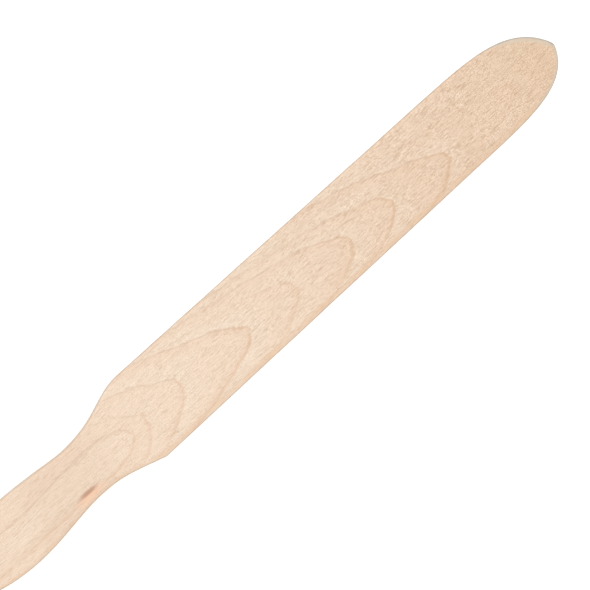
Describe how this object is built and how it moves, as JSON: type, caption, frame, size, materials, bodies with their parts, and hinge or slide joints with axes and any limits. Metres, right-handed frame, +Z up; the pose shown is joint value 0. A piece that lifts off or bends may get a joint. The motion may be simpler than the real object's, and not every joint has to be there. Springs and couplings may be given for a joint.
{
  "type": "clay modelling spatula",
  "caption": "Flat wooden spatula for spreading, scraping and smoothing clay, cut in one piece, with a long blade, one bevelled edge, a narrow neck and a swelling handle.",
  "frame": {"origin": "middle of the bounding box on the flat underside", "axes": "+X along the tool from the butt of the handle to the tip of the blade, +Y to the left of that, towards the unbevelled long edge, +Z up, from the flat underside to the bevelled upper face"},
  "size_m": [0.2999, 0.0344, 0.007],
  "materials": {
    "beech": "bare sanded beech, matt, unvarnished"
  },
  "bodies": {
    "root": {"wooden_spatula": "beech"}
  },
  "joints": []
}
